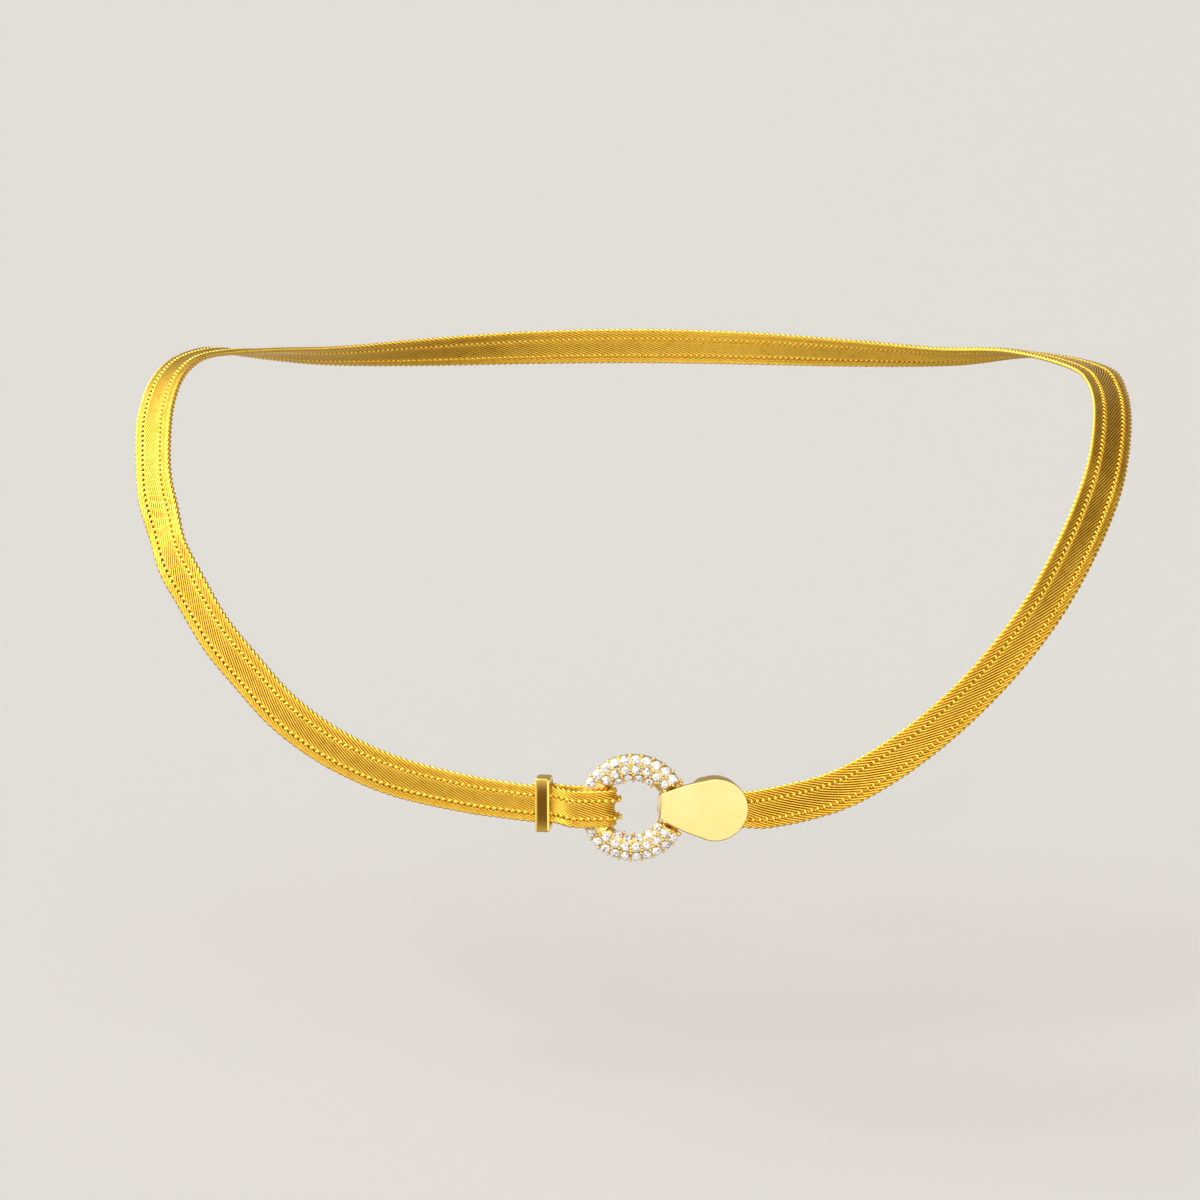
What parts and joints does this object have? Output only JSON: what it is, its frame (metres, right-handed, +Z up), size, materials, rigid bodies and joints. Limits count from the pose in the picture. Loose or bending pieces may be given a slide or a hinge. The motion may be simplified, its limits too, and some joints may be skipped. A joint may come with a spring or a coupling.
{
  "type": "collar choker necklace",
  "caption": "Flat woven gold collar necklace whose strap folds through a stone-set ring, with a keeper bar and a drop-shaped hook clasp.",
  "frame": {"origin": "middle of the strap's inner face behind the neck, where the necklace rests when it is worn", "axes": "+X to the right as seen from the front, along the loop's widest extent; +Y to the back, away from the ring; +Z up"},
  "size_m": [0.1481, 0.1115, 0.0638],
  "materials": {
    "woven_gold": "yellow gold wire woven into a flat strap, soft gloss, darker between the wires",
    "polished_gold": "polished yellow gold, smooth and mirror-like with a bright bevelled rim",
    "set_stones": "round clear cut stones packed close in a yellow gold setting with small bead prongs"
  },
  "bodies": {
    "root": {"woven_band": "woven_gold", "pave_ring": "set_stones", "keeper_bar": "polished_gold", "drop_hook": "polished_gold"}
  },
  "joints": []
}
